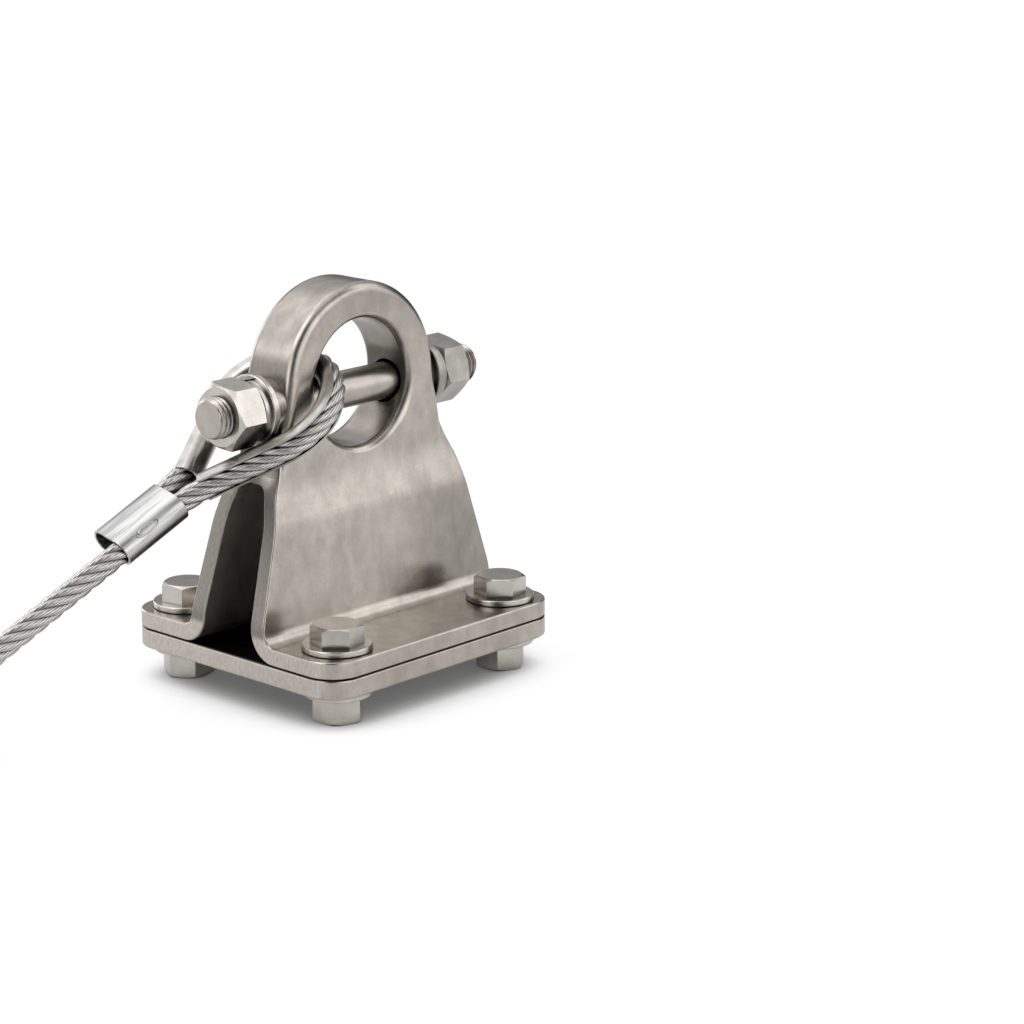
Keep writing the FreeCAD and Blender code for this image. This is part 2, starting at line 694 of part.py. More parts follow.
# Thimble: a round-bottomed channel bent to a drop, its crown resting on the stud inside the eye
def make_thimble():
    body = new_body("rope_thimble")
    crown = number("thimble_crown")
    angle = math.radians(number("thimble_angle"))
    path = new_sketch(body, "XY_Plane")
    centre = FreeCAD.Vector(-crown, 0, 0)
    sweep = math.pi / 2 + angle
    bend = Part.ArcOfCircle(Part.Circle(centre, Z_AXIS, crown), 0, sweep)
    arc = path.addGeometry(bend)
    run = crown / math.tan(angle) - number("thimble_cut")
    finish = bend.EndPoint - FreeCAD.Vector(math.cos(angle), math.sin(angle), 0) * run
    leg = path.addGeometry(Part.LineSegment(bend.EndPoint, finish))
    path.addConstraint(Sketcher.Constraint("Tangent", arc, 2, leg, 1))
    place_point(path, arc, 3, "-thimble_crown", "0")
    place_point(path, arc, 1, "0", "0")
    to_apex = "thimble_crown + thimble_crown / sin(thimble_angle * 1 deg)"
    far_end = "%s - thimble_cut * cos(thimble_angle * 1 deg)" % to_apex
    index = path.addConstraint(Sketcher.Constraint("DistanceX", -1, 1, leg, 2, -number(far_end)))
    path.setExpression("Constraints[%d]" % index, bound("-(%s)" % far_end))
    lean = path.addConstraint(Sketcher.Constraint("Angle", leg, angle - math.pi))
    path.setExpression("Constraints[%d]" % lean, bound("thimble_angle * 1 deg - 180 deg"))

    # the channel's section: two half circles, with lips that stand out past the rope's middle
    section = new_sketch(body, "XZ_Plane")
    corners = [("0", "-%s" % channel), ("thimble_lip", "-%s" % channel), ("thimble_lip", "-%s" % groove),
               ("0", "-%s" % groove), ("0", groove), ("thimble_lip", groove), ("thimble_lip", channel),
               ("0", channel)]
    points = [FreeCAD.Vector(number(x), number(z), 0) for x, z in corners]
    sides = {}
    for start in (0, 1, 2, 4, 5, 6):
        sides[start] = section.addGeometry(Part.LineSegment(points[start], points[start + 1]))
    circles = [Part.Circle(FreeCAD.Vector(), Z_AXIS, number(radius)) for radius in (groove, channel)]
    inner, outer = [section.addGeometry(Part.ArcOfCircle(circle, math.pi / 2, 3 * math.pi / 2))
                    for circle in circles]
    joins = [(sides[start], 2, sides[start + 1], 1) for start in (0, 1, 4, 5)]
    joins += [(sides[2], 2, inner, 2), (inner, 1, sides[4], 1)]
    joins += [(sides[6], 2, outer, 1), (outer, 2, sides[0], 1)]
    for join in joins:
        section.addConstraint(Sketcher.Constraint("Coincident", *join))
    for arc in (inner, outer):
        section.addConstraint(Sketcher.Constraint("PointOnObject", arc, 3, -2))
    for start, side in sides.items():
        place_point(section, side, 1, *corners[start])
    for start in (2, 6):
        place_point(section, sides[start], 2, *corners[start + 1])
    doc.recompute()
    half = body.newObject("PartDesign::AdditivePipe", "ThimbleSweep")
    half.Profile = section
    half.Spine = (path, ["Edge1", "Edge2"])
    doc.recompute()
    mirror = body.newObject("PartDesign::Mirrored", "ThimbleMirror")
    mirror.Originals = [half]
    mirror.MirrorPlane = (origin_plane(body, "XZ_Plane"), [""])
    body.Tip = mirror
    doc.recompute()
    body.Placement.Rotation = loop_turn
    tie(body, "Placement.Base.x", crown_x)
    tie(body, "Placement.Base.y", "-crown_side")
    tie(body, "Placement.Base.z", crown_height)
    return body


def line_frame(x, across):
    # X along the line, Y as near as it can be to the second direction
    y = across_line(across, x).normalize()
    return FreeCAD.Rotation(x, y, x.cross(y), "XYZ")


# Ferrule: an oval sleeve pressed over both parts of the rope
def make_ferrule():
    body = new_body("rope_ferrule")
    inside_width = "(rope_thick + rope_spacing + %s)" % rope_bore
    sketch = new_sketch(body, "YZ_Plane")
    draw_slot(sketch, "%s + 2 * ferrule_wall" % inside_width, "(%s + 2 * ferrule_wall)" % rope_bore)
    pad(body, sketch, "ferrule_length")
    sketch = new_sketch(body, "YZ_Plane")
    draw_slot(sketch, inside_width, rope_bore)
    cut(body, sketch, flipped=True)
    dress(body, "Fillet", lambda edge: near_to(edge.BoundBox.XLength, 0), "ferrule_edge / 2")
    mouth = near_corner + spread * 0.5 * corner_reach + line_out * number("ferrule_setback")
    body.Placement = FreeCAD.Placement(mouth, line_frame(line_out, spread))
    return body


# Wire rope: one length of rope on straight runs and the widest arcs that they allow
def rope_path(points):
    edges = []
    start = points[0]
    print("rope route:")
    for point in points:
        print("  (%.2f, %.2f, %.2f)" % (point.x, point.y, point.z))
    print("rope bend radii:")
    for before, corner, after in zip(points, points[1:], points[2:]):
        arriving = (corner - before).normalize()
        leaving = (after - corner).normalize()
        half_turn = arriving.getAngle(leaving) / 2
        setback = ROUNDING * min((corner - before).Length, (after - corner).Length)
        radius = setback / math.tan(half_turn)
        inward = (leaving - arriving).normalize()
        middle = corner + inward * (radius / math.cos(half_turn) - radius)
        tangent_in = corner - arriving * setback
        tangent_out = corner + leaving * setback
        edges.append(Part.LineSegment(start, tangent_in).toShape())
        edges.append(Part.Arc(tangent_in, middle, tangent_out).toShape())
        start = tangent_out
        print("  %.1f" % radius)
    edges.append(Part.LineSegment(start, points[-1]).toShape())
    return Part.Wire(edges)


def make_rope():
    path = rope_path(route)
    radius = number("rope_thick") / 2
    direction = (route[1] - route[0]).normalize()
    section = Part.Wire(Part.Circle(route[0], direction, radius).toShape())
    tube = Part.Wire(path).makePipeShell([section], True, False)
    expected = math.pi * radius ** 2 * path.Length
    print("rope length %.1f, volume over section times length %.5f" % (path.Length, tube.Volume / expected))
    rope = doc.addObject("Part::Feature", "wire_rope")
    rope.Label = "wire_rope"
    rope.Shape = tube
    rope.Placement = FreeCAD.Placement()
    return rope


# End terminal: a swaged sleeve on the rope's outer end with an eye to fasten it by
def make_terminal():
    body = new_body("end_terminal")
    sketch = new_sketch(body, "XZ_Plane")
    radius = "terminal_width / 2"
    bore = "(%s) / 2" % rope_bore
    shoulder = "-terminal_length - terminal_reach + terminal_hole / 2 + 2 * terminal_edge"
    sleeve = [
        ("0", bore),
        ("0", radius),
        ("-terminal_length", radius),
        (shoulder, "(terminal_thick - terminal_edge) / 2"),
        (shoulder, "0"),
        ("-terminal_depth - bore_gap", "0"),
        ("-terminal_depth - bore_gap", bore),
    ]
    draw_polygon(sketch, sleeve)
    turn(body, sketch, "H_Axis")
    sketch = new_sketch(body, "XY_Plane")
    draw_circle(sketch, "terminal_eye", "-terminal_length - terminal_reach", "0")
    pad(body, sketch, "terminal_thick", "Symmetric")
    sketch = new_sketch(body, "XY_Plane")
    draw_circle(sketch, "terminal_hole", "-terminal_length - terminal_reach", "0")
    cut(body, sketch, side="Symmetric")

    def rim(edge):
        # the rope's end of the sleeve, and both rims of the eye
        mouth = near_to(edge.BoundBox.XMax, 0) and near_to(edge.BoundBox.XLength, 0)
        hole = near_to(edge.BoundBox.XLength, number("terminal_hole")) and near_to(edge.BoundBox.ZLength, 0)
        return mouth or hole
    dress(body, "Fillet", rim, "terminal_edge")
    mouth = route[-1] - line_out * number("terminal_depth")
    body.Placement = FreeCAD.Placement(mouth, line_frame(-line_out, line_out.cross(Z_AXIS)))
    return body


parts = [make_base_plate(), make_eye_bracket(), make_cross_stud()]
parts += make_stud_fasteners()
parts += make_clamp_fasteners()
parts += [make_thimble(), make_ferrule(), make_rope(), make_terminal()]
doc.recompute()

for item in doc.Objects:
    if "Invalid" in item.State or "Error" in item.State:
        raise RuntimeError("%s did not compute" % item.Label)
for part in parts:
    if part.Shape.isNull() or not part.Shape.isValid() or len(part.Shape.Solids) != 1:
        raise RuntimeError("%s is not one sound solid" % part.Label)

os.makedirs("parts", exist_ok=True)
for part in parts:
    part.Shape.exportStep("parts/%s.step" % part.Label)
    print("%-28s %9.1f mm3" % (part.Label, part.Shape.Volume))
print("%d parts" % len(parts))
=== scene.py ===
import bpy
import math
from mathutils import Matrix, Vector


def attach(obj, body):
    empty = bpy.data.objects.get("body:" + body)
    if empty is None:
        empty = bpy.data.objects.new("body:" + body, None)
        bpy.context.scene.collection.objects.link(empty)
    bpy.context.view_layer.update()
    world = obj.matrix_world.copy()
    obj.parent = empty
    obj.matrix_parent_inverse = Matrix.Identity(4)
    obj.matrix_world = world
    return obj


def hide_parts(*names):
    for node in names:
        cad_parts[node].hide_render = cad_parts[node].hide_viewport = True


# A stainless lifeline anchor: eye bracket, base plate, cross stud and a wire rope loop.
# Metres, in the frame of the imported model: X along the stud, Z up, the front face towards -Y.
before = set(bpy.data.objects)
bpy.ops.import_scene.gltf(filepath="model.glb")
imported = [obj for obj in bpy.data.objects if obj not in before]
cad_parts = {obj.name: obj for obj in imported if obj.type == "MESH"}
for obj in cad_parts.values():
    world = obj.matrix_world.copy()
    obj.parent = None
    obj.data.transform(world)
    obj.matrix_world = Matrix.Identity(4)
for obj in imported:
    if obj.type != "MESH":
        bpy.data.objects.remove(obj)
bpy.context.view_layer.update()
scene = bpy.context.scene
mm = 0.001
print("frame loaded:", len(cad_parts), "nodes")


# the camera stands where the photograph was taken from
view = {
    "place": (-0.80886, -0.83167, 0.37543),
    "pitch": 15.02,      # degrees below the horizon
    "turn": 47.5,        # degrees clockwise from +Y
    "lens": 106.83,      # mm
    "sensor": 36,        # mm
}


def makeCamera():
    data = bpy.data.cameras.new("camera")
    data.lens = view["lens"]
    data.sensor_width = view["sensor"]
    camera = bpy.data.objects.new("camera", data)
    camera.location = view["place"]
    camera.rotation_euler = (math.radians(90 - view["pitch"]), 0, math.radians(-view["turn"]))
    scene.collection.objects.link(camera)
    scene.camera = camera


makeCamera()


# shader helpers
def plug(tree, target, value):
    if isinstance(value, Link):
        tree.links.new(value.socket, target)
    else:
        target.default_value = value


class Link:
    # wraps an output socket, so that arithmetic on it adds Math nodes
    def __init__(self, tree, socket):
        self.tree = tree
        self.socket = socket

    def calc(self, operation, *terms):
        node = self.tree.nodes.new("ShaderNodeMath")
        node.operation = operation
        for target, term in zip(node.inputs, terms):
            plug(self.tree, target, term)
        return Link(self.tree, node.outputs[0])

    def __add__(self, other):
        return self.calc("ADD", self, other)

    def __radd__(self, other):
        return self.calc("ADD", other, self)

    def __sub__(self, other):
        return self.calc("SUBTRACT", self, other)

    def __rsub__(self, other):
        return self.calc("SUBTRACT", other, self)

    def __mul__(self, other):
        return self.calc("MULTIPLY", self, other)

    def __rmul__(self, other):
        return self.calc("MULTIPLY", other, self)

    def __truediv__(self, other):
        return self.calc("DIVIDE", self, other)

    def __rtruediv__(self, other):
        return self.calc("DIVIDE", other, self)

    def __pow__(self, other):
        return self.calc("POWER", self, other)

    def __abs__(self):
        return self.calc("ABSOLUTE", self)


class Shader:
    # the node tree of a material or of the world
    def __init__(self, owner):
        owner.use_nodes = True
        self.tree = owner.node_tree
        self.tree.nodes.clear()

    def node(self, kind, settings=None, sockets=None, output=0):
        # settings first, then the values or links of the sockets
        made = self.tree.nodes.new("ShaderNode" + kind)
        for name, value in (settings or {}).items():
            setattr(made, name, value)
        for name, value in (sockets or {}).items():
            plug(self.tree, made.inputs[name], value)
        return Link(self.tree, made.outputs[output]) if made.outputs else None

    def place(self):
        return self.node("TexCoord", output="Object")

    def facing(self):
        return self.node("NewGeometry", output="Normal")

    def noise(self, where, scale, detail, rough):
        sockets = {"Vector": where, "Scale": scale, "Detail": detail, "Roughness": rough}
        return self.node("TexNoise", None, sockets)

    def vector(self, operation, sockets, output=0):
        return self.node("VectorMath", {"operation": operation}, sockets, output)

    def dot(self, first, second):
        return self.vector("DOT_PRODUCT", {0: first, 1: tuple(second)}, "Value")

    def join(self, *parts):
        return self.node("CombineXYZ", None, dict(enumerate(parts)))

    def mixColor(self, share, first, second):
        return self.node("Mix", {"data_type": "RGBA"}, {0: share, 6: first, 7: second}, 2)

    def smooth(self, value, low, high):
        # 0 below low, 1 above high, and a smooth step between them
        settings = {"interpolation_type": "SMOOTHSTEP"}
        sockets = {"Value": value, "From Min": low, "From Max": high}
        return self.node("MapRange", settings, sockets)

    def parts(self, vector):
        made = self.tree.nodes.new("ShaderNodeSeparateXYZ")
        plug(self.tree, made.inputs[0], vector)
        return [Link(self.tree, socket) for socket in made.outputs]

    def bump(self, height, distance, strength=1.0, normal=None):
        sockets = {"Height": height, "Distance": distance, "Strength": strength}
        if normal:
            sockets["Normal"] = normal
        return self.node("Bump", None, sockets)


def grey(red, green, blue):
    return (red, green, blue, 1)


def newMaterial(name):
    material = bpy.data.materials.new(name)
    return material, Shader(material)


def finishMetal(shader, color, roughness, normal):
    sockets = {"Base Color": color, "Roughness": roughness, "Metallic": 1.0, "Normal": normal}
    body = shader.node("BsdfPrincipled", None, sockets)
    shader.node("OutputMaterial", None, {"Surface": body})


# Finishes. Tones are linear. A noise has its scale per metre, its detail and its roughness.
# A pair is a smooth step: its first value is where it starts from 0, and its second where it reaches 1.
# painted shade in crevices and narrow gaps
creviceShade = {
    "reach": 4 * mm,
    "samples": 8,
    "tone": grey(0.02, 0.018, 0.016),
    "open": (0.15, 0.75),
}


def withCreviceShade(shader, color):
    # painted shade: dark lines where two pieces meet and in narrow gaps, from ambient occlusion
    settings = {"samples": creviceShade["samples"]}
    openness = shader.node("AmbientOcclusion", settings, {"Distance": creviceShade["reach"]}, "AO")
    return shader.mixColor(shader.smooth(openness, *creviceShade["open"]), creviceShade["tone"], color)


plateFinish = {
    "light": grey(0.514, 0.475, 0.432),
    "dark": grey(0.352, 0.323, 0.290),
    "patches": (0.34, 0.66),            # from dark to light
    "cloud": (55, 3, 0.5),
    "cloudShare": 0.3,
    "smudge": (170, 4, 0.6),
    "smudgeScale": (1, 1, 0.6),         # drawn out a little in height
    "smudgeShare": 0.4,
    "grain": (2600, 2, 0.5),
    "grainShare": 0.3,
    "grainDepth": 0.010 * mm,
    "speck": (900, 3, 0.65),
    "speckShare": 0.6,                  # of the specks in the grain's bump
    "roughness": 0.25,
    "cloudRough": 0.04,
    # ground edges where the sheet was cut, which look squarely along X
    "cut": (0.90, 0.96),
    "cutLight": grey(0.56, 0.52, 0.475),
    "cutDark": grey(0.45, 0.415, 0.375),
    "cutRough": 0.14,
    "cutDepth": 0.05 * mm,
    "cutStrength": 0.6,
    "streak": (1500, 3, 0.7),
    "streakScale": (1, 1, 0.25),        # drawn out in height
    "streaks": (0.35, 0.65),
    "legCut": 0.41,                     # the tone of the legs' cut edges
    "legCutHeight": (29 * mm, 32 * mm),
    # the bend under the head, which is rounded in its shading
    "brow": (78.4 * mm, 98.4 * mm),
    "browFade": 1 * mm,
    "browFacing": (0.90, 0.95),
    "slope": 0.249,                     # how far the face below it looks up
    # painted shade: a dark line along the gap between bracket and plate
    "seamHeight": 20.9 * mm,
    "seam": (0.35 * mm, 0.70 * mm),
    "seamShade": grey(0.05, 0.04, 0.035),
    # painted shade: the right end of the front leg is darkened
    "legEndShade": 0.69,
    "legEndShadeAcross": (5 * mm, 45 * mm),
    "legEndShadeTop": (60 * mm, 90 * mm),
    "legEndShadeFoot": (29 * mm, 33 * mm),
    "legEndShadeFacing": (0.6, 0.9),
    # painted shade: the right part of the eye's wall is darkened
    "wall": 0.60,
    "wallAcross": (0, 18 * mm),
    "wallRadius": (25.3 * mm, 26 * mm),
    "eyeHeight": 118.84 * mm,
    # painted shade: the top of the eye's face is darkened
    "crown": 0.84,
    "crownHeight": (134 * mm, 150 * mm),
    "crownFacing": (0.90, 0.97),
    # rougher: the walls of the tunnel between the legs
    "tunnelRough": 0.20,
    "tunnelDepth": (2 * mm, 5 * mm),
    "tunnelTop": (84 * mm, 88 * mm),
}


def plateToneAndShade(shader, place, facing, cut):
    # how much of the metal's tone is left, 0 to 1: darker on the legs' cut edges, and painted shade on the
    # right end of the front leg, the right part of the eye's wall and the top of the eye's face
    finish = plateFinish
    across, depth, height = place
    legEdge = shader.smooth(height, *finish["legCutHeight"]) * cut
    frontLeg = shader.smooth(facing[1] * -1, *finish["legEndShadeFacing"]) * shader.smooth(height, *finish["legEndShadeFoot"])
    rightEnd = shader.smooth(across, *finish["legEndShadeAcross"]) * (1 - shader.smooth(height, *finish["legEndShadeTop"]))
    rise = height - finish["eyeHeight"]
    fromAxis = (across * across + rise * rise) ** 0.5
    wall = shader.smooth(across, *finish["wallAcross"]) * (1 - shader.smooth(fromAxis, *finish["wallRadius"]))
    face = shader.smooth(abs(facing[1]), *finish["crownFacing"])
    crown = shader.smooth(height, *finish["crownHeight"]) * face
    left = 1 - legEdge * (1 - finish["legCut"])
    left = left * (1 - frontLeg * rightEnd * (1 - finish["legEndShade"]))
    left = left * (1 - wall * (1 - finish["wall"]))
    return left * (1 - crown * (1 - finish["crown"]))


def roundedBrow(shader, height, facing):
    # the surface's direction, turned smoothly over the bend under the head
    finish = plateFinish
    low, high = finish["brow"]
    share = shader.smooth(abs(facing[1]), *finish["browFacing"])
    share = share * shader.smooth(height, low - finish["browFade"], low)
    share = share * (1 - shader.smooth(height, high, high + finish["browFade"]))
    looksUp = (1 - shader.smooth(height, low, high)) * finish["slope"]
    upward = facing[2] * (1 - share) + looksUp * share
    return shader.vector("NORMALIZE", {0: shader.join(facing[0], facing[1], upward)})


def makePlateSteel():
    # satin sheet, with grainy ground edges where it was cut
    finish = plateFinish
    material, shader = newMaterial("satinPlate")
    where = shader.place()
    place = shader.parts(where)
    facing = shader.parts(shader.facing())
    depth, height = place[1:]
    cloud = shader.noise(where, *finish["cloud"])
    smudge = shader.noise(shader.vector("MULTIPLY", {0: where, 1: finish["smudgeScale"]}), *finish["smudge"])
    grain = shader.noise(where, *finish["grain"])
    speck = shader.noise(where, *finish["speck"])
    streak = shader.noise(shader.vector("MULTIPLY", {0: where, 1: finish["streakScale"]}), *finish["streak"])
    cut = shader.smooth(abs(facing[0]), *finish["cut"])

    patches = cloud * finish["cloudShare"] + smudge * finish["smudgeShare"] + grain * finish["grainShare"]
    sheet = shader.mixColor(shader.smooth(patches, *finish["patches"]), finish["dark"], finish["light"])
    edge = shader.mixColor(shader.smooth(streak, *finish["streaks"]), finish["cutDark"], finish["cutLight"])
    bare = shader.mixColor(cut, sheet, edge)
    toned = shader.vector("SCALE", {0: bare, "Scale": plateToneAndShade(shader, place, facing, cut)})
    # painted shade: a dark line along the gap between bracket and plate
    awayFromSeamShade = shader.smooth(abs(height - finish["seamHeight"]), *finish["seam"])
    color = withCreviceShade(shader, shader.mixColor(awayFromSeamShade, finish["seamShade"], toned))

    tunnel = shader.smooth(depth * facing[1] * -1, *finish["tunnelDepth"])
    tunnel = tunnel * (1 - shader.smooth(height, *finish["tunnelTop"]))
    roughness = finish["roughness"] + cloud * finish["cloudRough"] + cut * finish["cutRough"]
    roughness = roughness + tunnel * finish["tunnelRough"]

    grainBump = shader.bump(grain + speck * finish["speckShare"], finish["grainDepth"],
                            normal=roundedBrow(shader, height, facing))
    cutBump = shader.bump(streak * cut, finish["cutDepth"], finish["cutStrength"], grainBump)
    finishMetal(shader, color, roughness, cutBump)
    return material


fastenerFinish = {
    "light": grey(0.58, 0.552, 0.513),
    "dark": grey(0.48, 0.452, 0.413),
    "roughness": 0.17,
    "grainDepth": 0.010 * mm,
}
dullFinish = {
    "light": grey(0.37, 0.353, 0.328),
    "dark": grey(0.27, 0.256, 0.236),
    "roughness": 0.26,
    "grainDepth": 0.022 * mm,
}
studFinish = {
    "light": grey(0.46, 0.430, 0.395),
    "dark": grey(0.38, 0.352, 0.320),
    "roughness": 0.24,
    "grainDepth": 0.010 * mm,
}
machined = {
    "cloud": (130, 3, 0.5),
    "cloudShare": 0.6,
    "grain": (1900, 3, 0.6),
    "grainShare": 0.4,
    "patches": (0.36, 0.62),
    "grainRough": 0.14,
}


def makeMachined(name, finish):
    # machined stainless with a fine uneven satin
    material, shader = newMaterial(name)
    where = shader.place()
    cloud = shader.noise(where, *machined["cloud"])
    grain = shader.noise(where, *machined["grain"])
    patches = cloud * machined["cloudShare"] + grain * machined["grainShare"]
    tone = shader.smooth(patches, *machined["patches"])
    color = withCreviceShade(shader, shader.mixColor(tone, finish["dark"], finish["light"]))
    roughness = finish["roughness"] + grain * machined["grainRough"]
    finishMetal(shader, color, roughness, shader.bump(grain, finish["grainDepth"]))
    return material


thimbleFinish = {
    "light": grey(0.50, 0.487, 0.465),
    "dark": grey(0.40, 0.387, 0.365),
    "roughness": 0.20,
    "cloud": (160, 2, 0.5),
    "patches": (0.35, 0.65),
    "cloudRough": 0.10,
    "grain": (2400, 2, 0.5),
    "grainDepth": 0.006 * mm,
}


def makeThimbleSteel():
    finish = thimbleFinish
    material, shader = newMaterial("brightThimble")
    where = shader.place()
    cloud = shader.noise(where, *finish["cloud"])
    tone = shader.smooth(cloud, *finish["patches"])
    color = withCreviceShade(shader, shader.mixColor(tone, finish["dark"], finish["light"]))
    roughness = finish["roughness"] + cloud * finish["cloudRough"]
    grainBump = shader.bump(shader.noise(where, *finish["grain"]), finish["grainDepth"])
    finishMetal(shader, color, roughness, grainBump)
    return material


wireFinish = {
    "bright": grey(0.62, 0.605, 0.58),
    # painted shade at the bottom of the grooves between wires
    "groove": grey(0.08, 0.075, 0.07),
    "grooveShare": 0.8,     # how much of the painted groove shade shows at its bottom
    "grooveRough": 0.2,
    "roughness": 0.24,
    "cloud": (300, 2, 0.5),
    "cloudRough": 0.12,
    "grain": (3000, 2, 0.5),
    "grainDepth": 0.004 * mm,
}


def makeWireSteel():
    # bright drawn wire; a point attribute is 1 at the bottom between two wires, where painted shade darkens the
    # colour
    finish = wireFinish
    material, shader = newMaterial("drawnWire")
    groove = shader.node("Attribute", {"attribute_name": "groove"}, None, "Fac")
    where = shader.place()
    cloud = shader.noise(where, *finish["cloud"])
    color = shader.mixColor(groove * finish["grooveShare"], finish["bright"], finish["groove"])
    roughness = finish["roughness"] + cloud * finish["cloudRough"] + groove * finish["grooveRough"]
    grainBump = shader.bump(shader.noise(where, *finish["grain"]), finish["grainDepth"])
    finishMetal(shader, withCreviceShade(shader, color), roughness, grainBump)
    return material


ferruleFinish = {
    "light": grey(0.57, 0.57, 0.565),
    "dark": grey(0.30, 0.30, 0.30),
    "roughness": 0.22,
    "streak": (900, 3, 0.6),
    "streakRough": 0.14,
    "streakShare": 0.5,
    "broad": (260, 2, 0.5),
    "broadShare": 0.5,
    "streaks": (0.38, 0.62),
    "drawn": 0.93,                       # how far the streaks are drawn out, 1 for endless ones
    "streakDepth": 0.12 * mm,
    "streakHeight": 0.4,                 # of the fine streaks, against the broad ones
    # the pressed oval
    "markPlace": (2.6 * mm, 3.0 * mm),   # along and across the ferrule, from its middle
    "markHalf": (4.6 * mm, 1.8 * mm),
    "markLine": (0.10, 0.24),            # the line's half width, as a share of those halves
    "markFacing": (0, 0.2),
    "markDepth": 0.16 * mm,
    "markTone": grey(0.20, 0.20, 0.20),
    "markShare": 0.35,
}
lineOut = Vector((-0.87758, 0.12334, -0.46330))      # along the rope, away from the eye
markAcross = Vector((0.296, -0.613, -0.732))         # across it, down over its front


def middleOf(name):
    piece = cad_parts[name]
    corners = [piece.matrix_world @ Vector(corner) for corner in piece.bound_box]
    return sum(corners, Vector()) / len(corners)


def ovalMark(shader, where):
    # 1 on the outline of the pressed oval on the ferrule's front, 0 elsewhere
    middle = middleOf("rope_ferrule")
    places = ferruleFinish["markPlace"]
    halves = ferruleFinish["markHalf"]
    offsets = []
    for direction, place, half in zip((lineOut, markAcross), places, halves):
        run = shader.dot(where, direction)
        offsets.append((run - (middle.dot(direction) + place)) / half)
    reach = (offsets[0] * offsets[0] + offsets[1] * offsets[1]) ** 0.5
    front = shader.dot(shader.facing(), lineOut.cross(markAcross))
    line = 1 - shader.smooth(abs(reach - 1), *ferruleFinish["markLine"])
    return line * shader.smooth(front, *ferruleFinish["markFacing"])


def makeFerruleMetal():
    # pressed aluminium, drawn lengthwise
    finish = ferruleFinish
    material, shader = newMaterial("pressedAluminium")
    where = shader.place()
    along = shader.dot(where, lineOut)
    pulled = shader.vector("SCALE", {0: tuple(lineOut), "Scale": along * finish["drawn"]})
    across = shader.vector("SUBTRACT", {0: where, 1: pulled})
    streak = shader.noise(across, *finish["streak"])
    broad = shader.noise(across, *finish["broad"])
    tone = streak * finish["streakShare"] + broad * finish["broadShare"]
    ring = ovalMark(shader, where)
    metal = shader.mixColor(shader.smooth(tone, *finish["streaks"]), finish["dark"], finish["light"])
    color = withCreviceShade(shader, shader.mixColor(ring * finish["markShare"], metal, finish["markTone"]))
    roughness = finish["roughness"] + streak * finish["streakRough"]
    streakBump = shader.bump(streak * finish["streakHeight"] + broad, finish["streakDepth"])
    markBump = shader.bump(1 - ring, finish["markDepth"], normal=streakBump)
    finishMetal(shader, color, roughness, markBump)
    return material


plateSteel = makePlateSteel()
fastenerSteel = makeMachined("machinedSteel", fastenerFinish)
dullSteel = makeMachined("dullSteel", dullFinish)
studSteel = makeMachined("studSteel", studFinish)
thimbleSteel = makeThimbleSteel()
wireSteel = makeWireSteel()
ferruleMetal = makeFerruleMetal()
print("finishes made")


def dressNode(name, material):
    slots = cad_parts[name].data.materials
    slots.clear()
    slots.append(material)


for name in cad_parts:
    if name in ("base_plate", "eye_bracket"):
        dressNode(name, plateSteel)
    elif name == "rope_thimble":
        dressNode(name, thimbleSteel)
    elif name == "rope_ferrule":
        dressNode(name, ferruleMetal)
    elif name == "end_terminal" or name.startswith("stud_") and name.endswith("_right"):
        dressNode(name, dullSteel)
    elif name not in ("wire_rope", "cross_stud"):
        dressNode(name, fastenerSteel)


def newPiece(name, points, faces, material, replaced):
    mesh = bpy.data.meshes.new(name)
    mesh.from_pydata(points, [], faces)
    mesh.validate()
    mesh.shade_smooth()
    mesh.materials.append(material)
    piece = bpy.data.objects.new(name, mesh)
    scene.collection.objects.link(piece)
    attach(piece, "root")
    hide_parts(replaced)
    return piece


def joinRings(faces, start, rings, count):
    # quads between rings of the same number of points, and a face over each end
    for ring in range(rings - 1):
        low = start + ring * count
        for corner in range(count):
            following = (corner + 1) % count
            faces.append((low + corner, low + following, low + count + following, low + count + corner))
    faces.append(tuple(start + corner for corner in reversed(range(count))))
    last = start + (rings - 1) * count
    faces.append(tuple(last + corner for corner in range(count)))


rope = {
    "route": [                      # the cut end in the ferrule, round the eye, out to the terminal
        (-0.09298, 0.01878, 0.07560),
        (-0.06841, 0.01533, 0.08857),
        (-0.05090, 0.02205, 0.10280),
        (-0.03318, 0.02800, 0.11710),
        (-0.01798, 0.01689, 0.12744),
        (-0.01334, -0.00406, 0.12854),
        (-0.02220, -0.02151, 0.11968),
        (-0.03892, -0.02437, 0.10651),
        (-0.05506, -0.00919, 0.09592),
        (-0.07082, 0.00660, 0.08569),
        (-0.09000, 0.00930, 0.07556),
        (-0.18491, 0.02264, 0.02546),
    ],
    "thick": 9 * mm,
    "strands": 6,
    "strandRadius": 1.72 * mm,
    "lay": 42 * mm,                 # one turn of a strand, right-handed
    "wires": 11,                    # that show round one strand
    "wireLay": 18 * mm,             # one turn of a wire in its strand, left-handed
    "wireDepth": 0.14 * mm,
    "pointsPerWire": 3,
    "step": 0.8 * mm,
    "corePoints": 12,
    "resolution": 120,              # points of the smooth line between two of the route
}


def readRoute(points, resolution):
    # the route as a smooth NURBS line, read back as points
    curve = bpy.data.curves.new("ropeRoute", "CURVE")
    curve.dimensions = "3D"
    curve.resolution_u = resolution
    spline = curve.splines.new("NURBS")
    spline.points.add(len(points) - 1)
    for target, point in zip(spline.points, points):
        target.co = (*point, 1)
    spline.order_u = 3
    spline.use_endpoint_u = True
    holder = bpy.data.objects.new("ropeRoute", curve)
    mesh = bpy.data.meshes.new_from_object(holder)
    line = [vertex.co.copy() for vertex in mesh.vertices]
    bpy.data.objects.remove(holder)
    bpy.data.meshes.remove(mesh)
    return line


def thinned(line, step):
    # the points of a line that lie at least a step apart, and its last one
    kept = [line[0]]
    for point in line[1:-1]:
        if (point - kept[-1]).length >= step:
            kept.append(point)
    return kept + [line[-1]]


